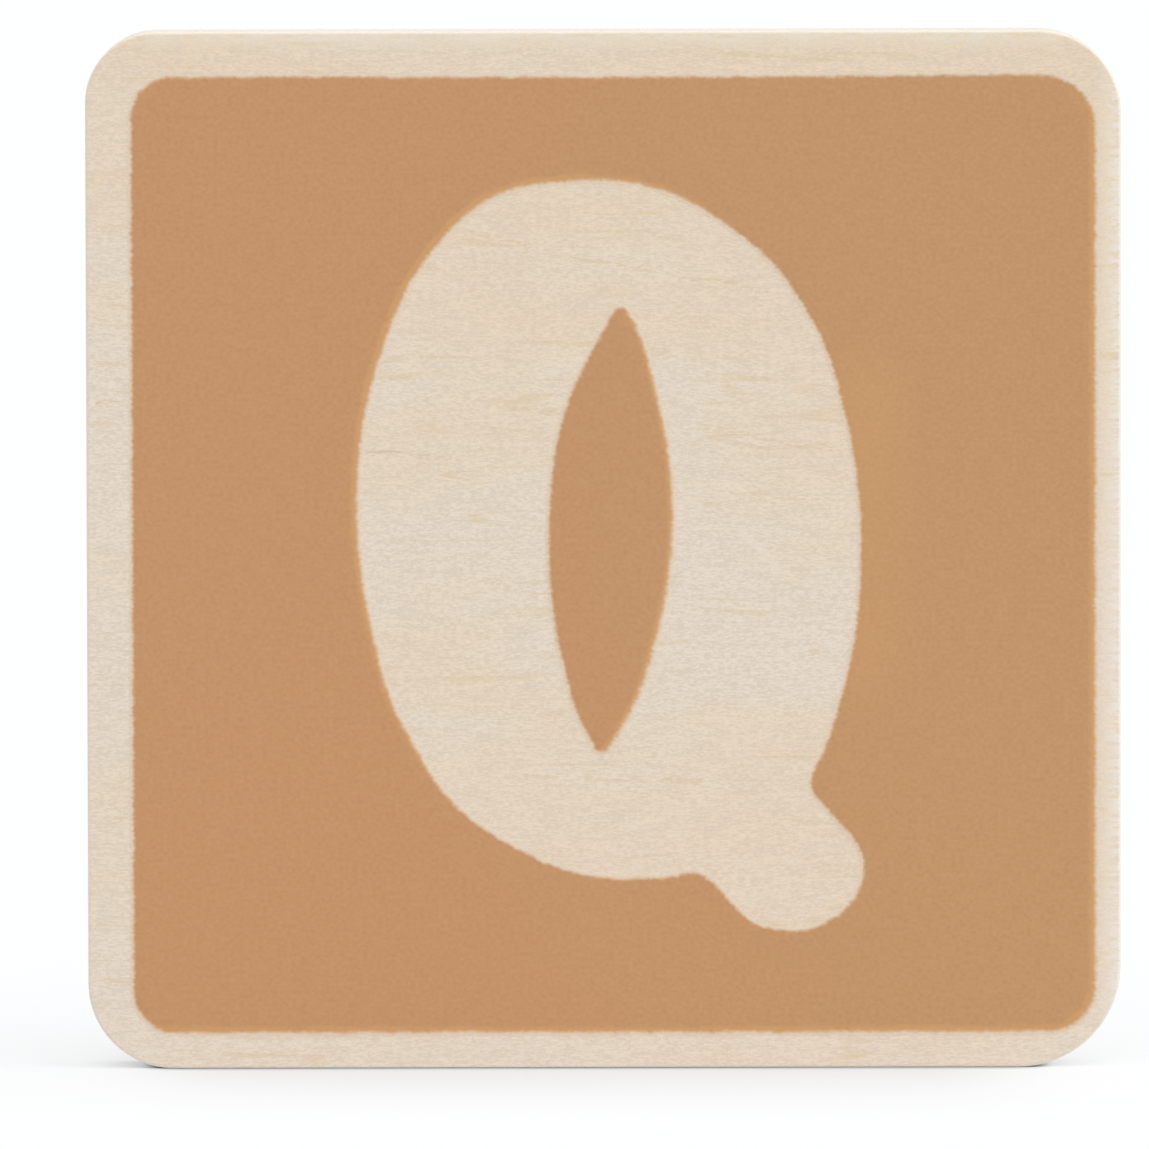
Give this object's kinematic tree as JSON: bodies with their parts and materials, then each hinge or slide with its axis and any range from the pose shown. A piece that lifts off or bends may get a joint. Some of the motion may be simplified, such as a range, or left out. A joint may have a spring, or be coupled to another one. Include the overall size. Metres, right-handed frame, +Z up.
{
  "type": "letter tile",
  "caption": "Thin square plywood letter tile with rounded corners that stands on its edge; a tan printed field on its front leaves a letter and a narrow border in bare wood.",
  "frame": {"origin": "middle of the bottom edge that the tile stands on, half way through the board", "axes": "+Z up, +X to the right as the letter is read, and the printed front faces -Y"},
  "size_m": [0.0698, 0.0061, 0.07],
  "materials": {
    "face_veneer": "bare, finely sanded",
    "crossband": "bare, sanded end grain and long grain",
    "core": "bare, sanded end grain and long grain",
    "glue": "matte",
    "ink": "matte, soaked into the grain at its edges"
  },
  "bodies": {
    "root": {"front_face_veneer": "face_veneer", "front_glue_line": "glue", "front_crossband": "crossband", "front_core_glue_line": "glue", "core_veneer": "core", "back_core_glue_line": "glue", "back_crossband": "crossband", "back_glue_line": "glue", "back_face_veneer": "face_veneer", "printed_field": "ink", "printed_counter": "ink"}
  },
  "joints": []
}
